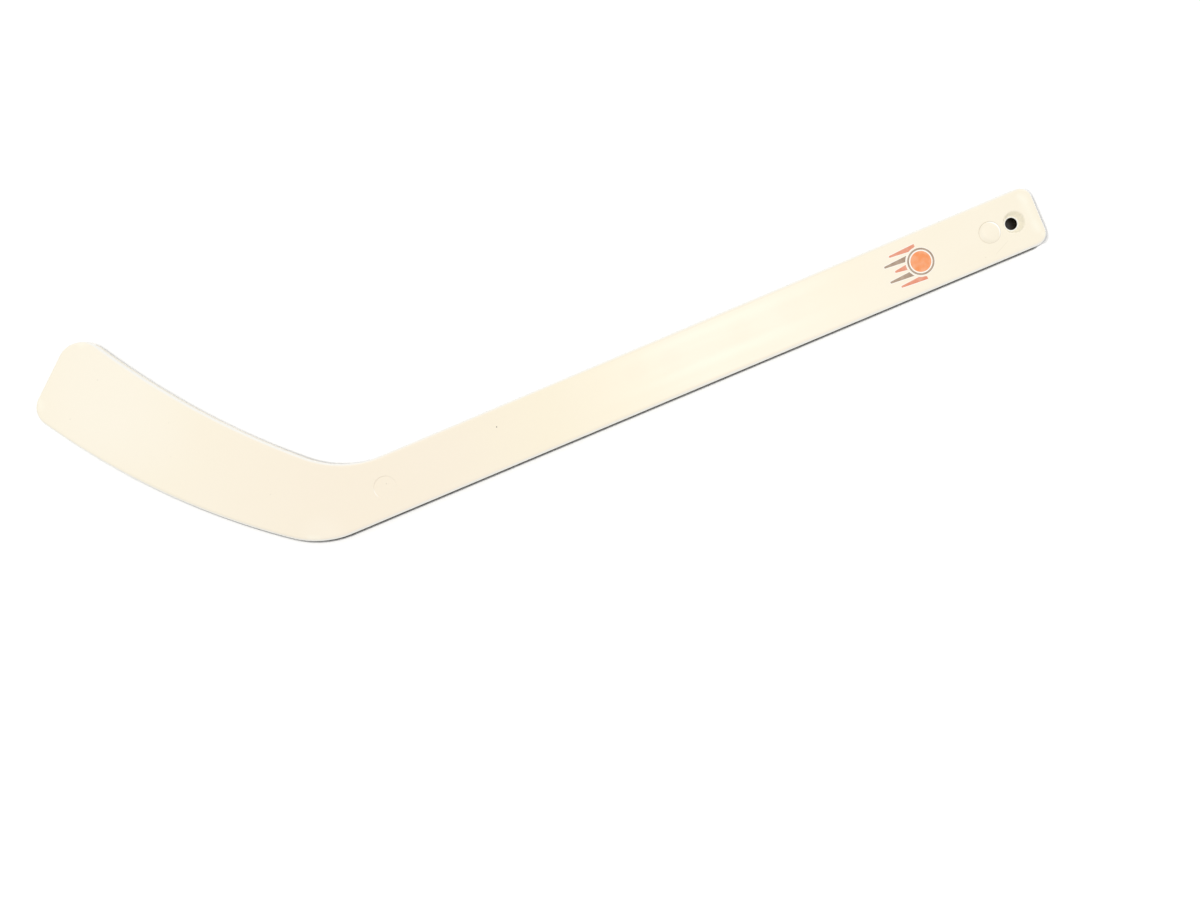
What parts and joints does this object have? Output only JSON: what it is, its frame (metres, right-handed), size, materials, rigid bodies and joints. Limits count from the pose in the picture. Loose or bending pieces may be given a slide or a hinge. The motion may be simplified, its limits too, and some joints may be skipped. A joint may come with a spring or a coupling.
{
  "type": "mini hockey stick",
  "caption": "Flat moulded mini hockey stick: blade and shaft in one piece with rounded edges, a hanging hole at the butt and a small plain print on the shaft.",
  "frame": {"origin": "centre of the footprint on the surface that the stick lies on, with its back down", "axes": "+X along the shaft towards the butt, +Y towards the toe side, +Z out of the printed face"},
  "size_m": [0.533, 0.1524, 0.0084],
  "materials": {
    "cream_plastic": "satin",
    "orange_ink": "satin",
    "salmon_ink": "satin",
    "grey_ink": "satin"
  },
  "bodies": {
    "root": {"stick_moulding": "cream_plastic", "print_puck_ring": "grey_ink", "print_puck_disc": "orange_ink", "print_streak_1": "salmon_ink", "print_streak_2": "grey_ink", "print_streak_3": "salmon_ink", "print_streak_4": "grey_ink", "print_streak_5": "salmon_ink"}
  },
  "joints": []
}
